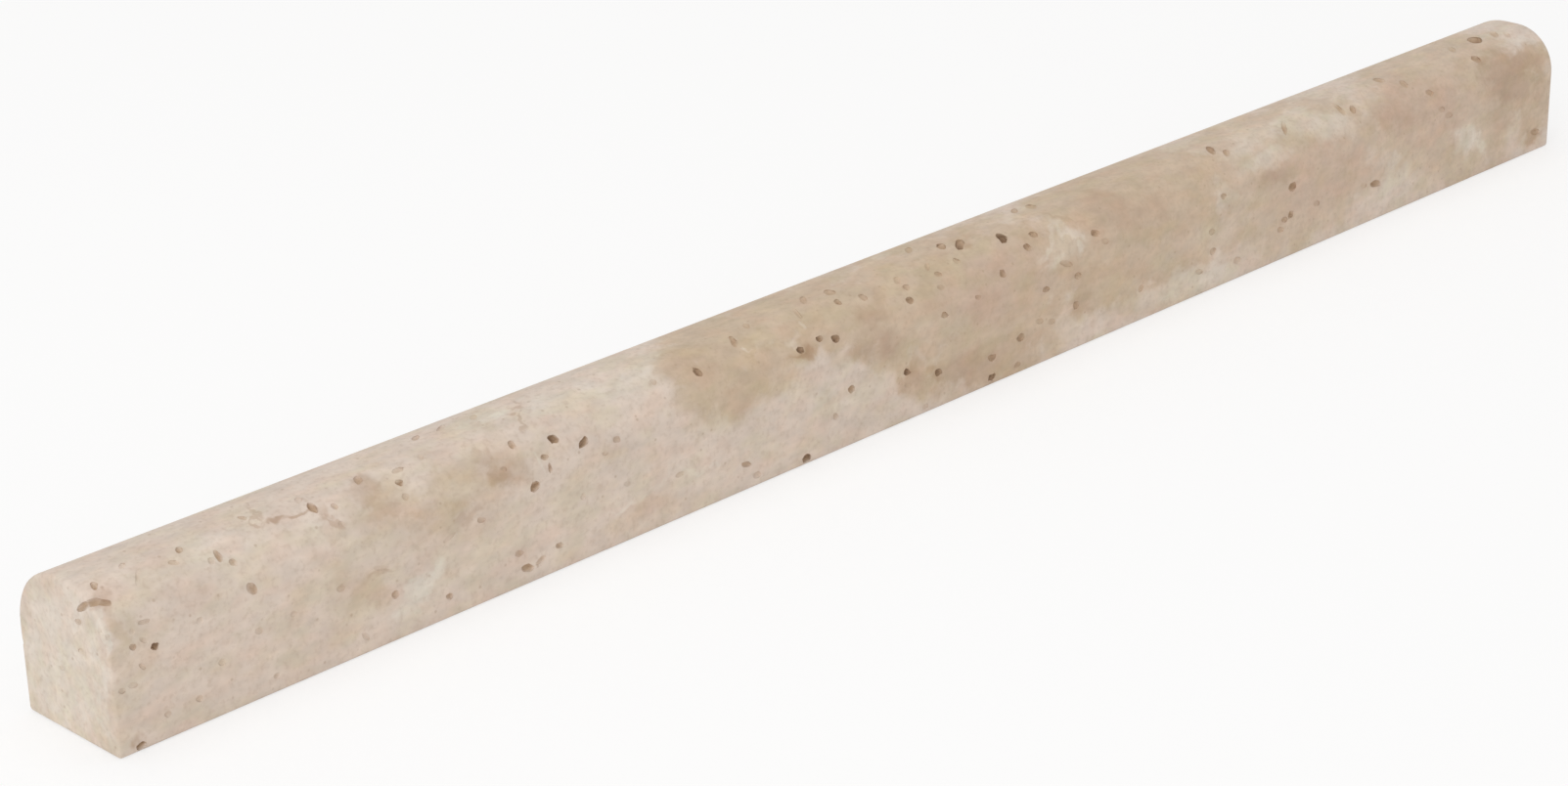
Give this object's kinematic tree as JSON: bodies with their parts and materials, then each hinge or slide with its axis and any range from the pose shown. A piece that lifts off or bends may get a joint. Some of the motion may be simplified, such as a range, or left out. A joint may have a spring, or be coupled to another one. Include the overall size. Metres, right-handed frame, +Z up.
{
  "type": "stone pencil liner moulding",
  "caption": "Straight stone trim bar with a flat bedding face, upright edges and a rounded crown, set as a border strip between tiles.",
  "frame": {"origin": "middle of the flat bedding face", "axes": "+X along the bar, +Y from the front edge to the back edge, +Z up from the bedding face to the crown"},
  "size_m": [0.305, 0.019, 0.021],
  "materials": {
    "travertine": "honed, unfilled"
  },
  "bodies": {
    "root": {"moulding": "travertine"}
  },
  "joints": []
}
